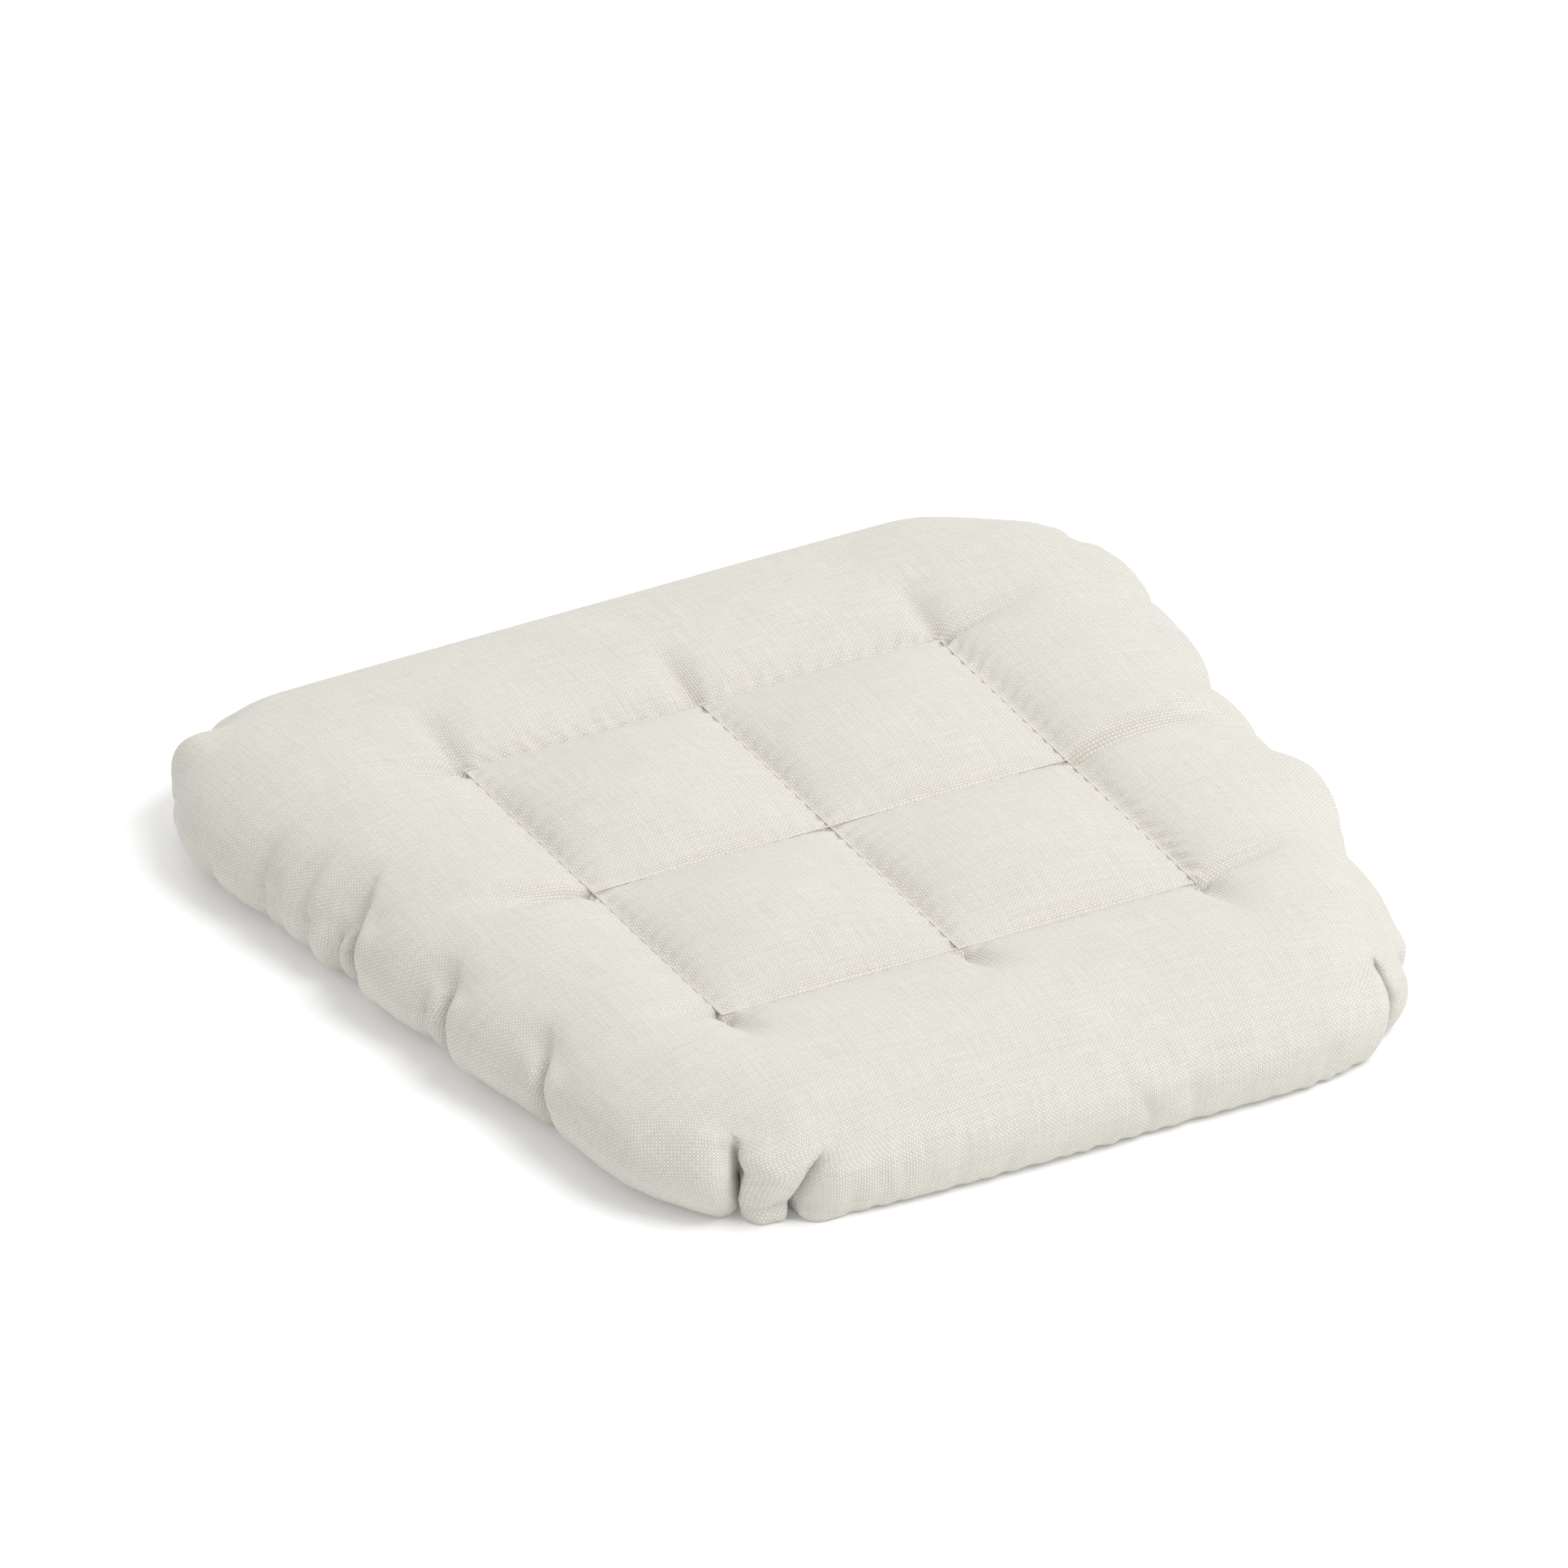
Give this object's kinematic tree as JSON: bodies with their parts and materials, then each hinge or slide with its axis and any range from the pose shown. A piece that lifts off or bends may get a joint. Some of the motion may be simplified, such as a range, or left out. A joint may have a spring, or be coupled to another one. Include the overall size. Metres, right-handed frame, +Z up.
{
  "type": "chair seat pad",
  "caption": "Trapezoid chair seat pad with rounded corners, a full padded border and a stitched square of four cells in the middle, in cream canvas.",
  "frame": {"origin": "on the surface the pad lies on, under the middle of its outline", "axes": "+Z up through the thickness, +Y towards the wide front edge, +X to the right-hand side"},
  "size_m": [0.3968, 0.399, 0.0485],
  "materials": {
    "canvas": "matte",
    "base_canvas": "matte",
    "wadding": "matte",
    "foam": "matte",
    "thread": "matte"
  },
  "bodies": {
    "root": {"top_cover": "canvas", "bottom_cover": "base_canvas", "wadding_upper": "wadding", "wadding_lower": "wadding", "foam_core": "foam", "quilt_square_needle_thread": "thread", "quilt_square_bobbin_thread": "thread", "quilt_long_needle_thread": "thread", "quilt_long_bobbin_thread": "thread", "quilt_wide_needle_thread": "thread", "quilt_wide_bobbin_thread": "thread", "edge_seam_needle_thread": "thread", "edge_seam_bobbin_thread": "thread", "closing_seam_thread": "thread"}
  },
  "joints": []
}
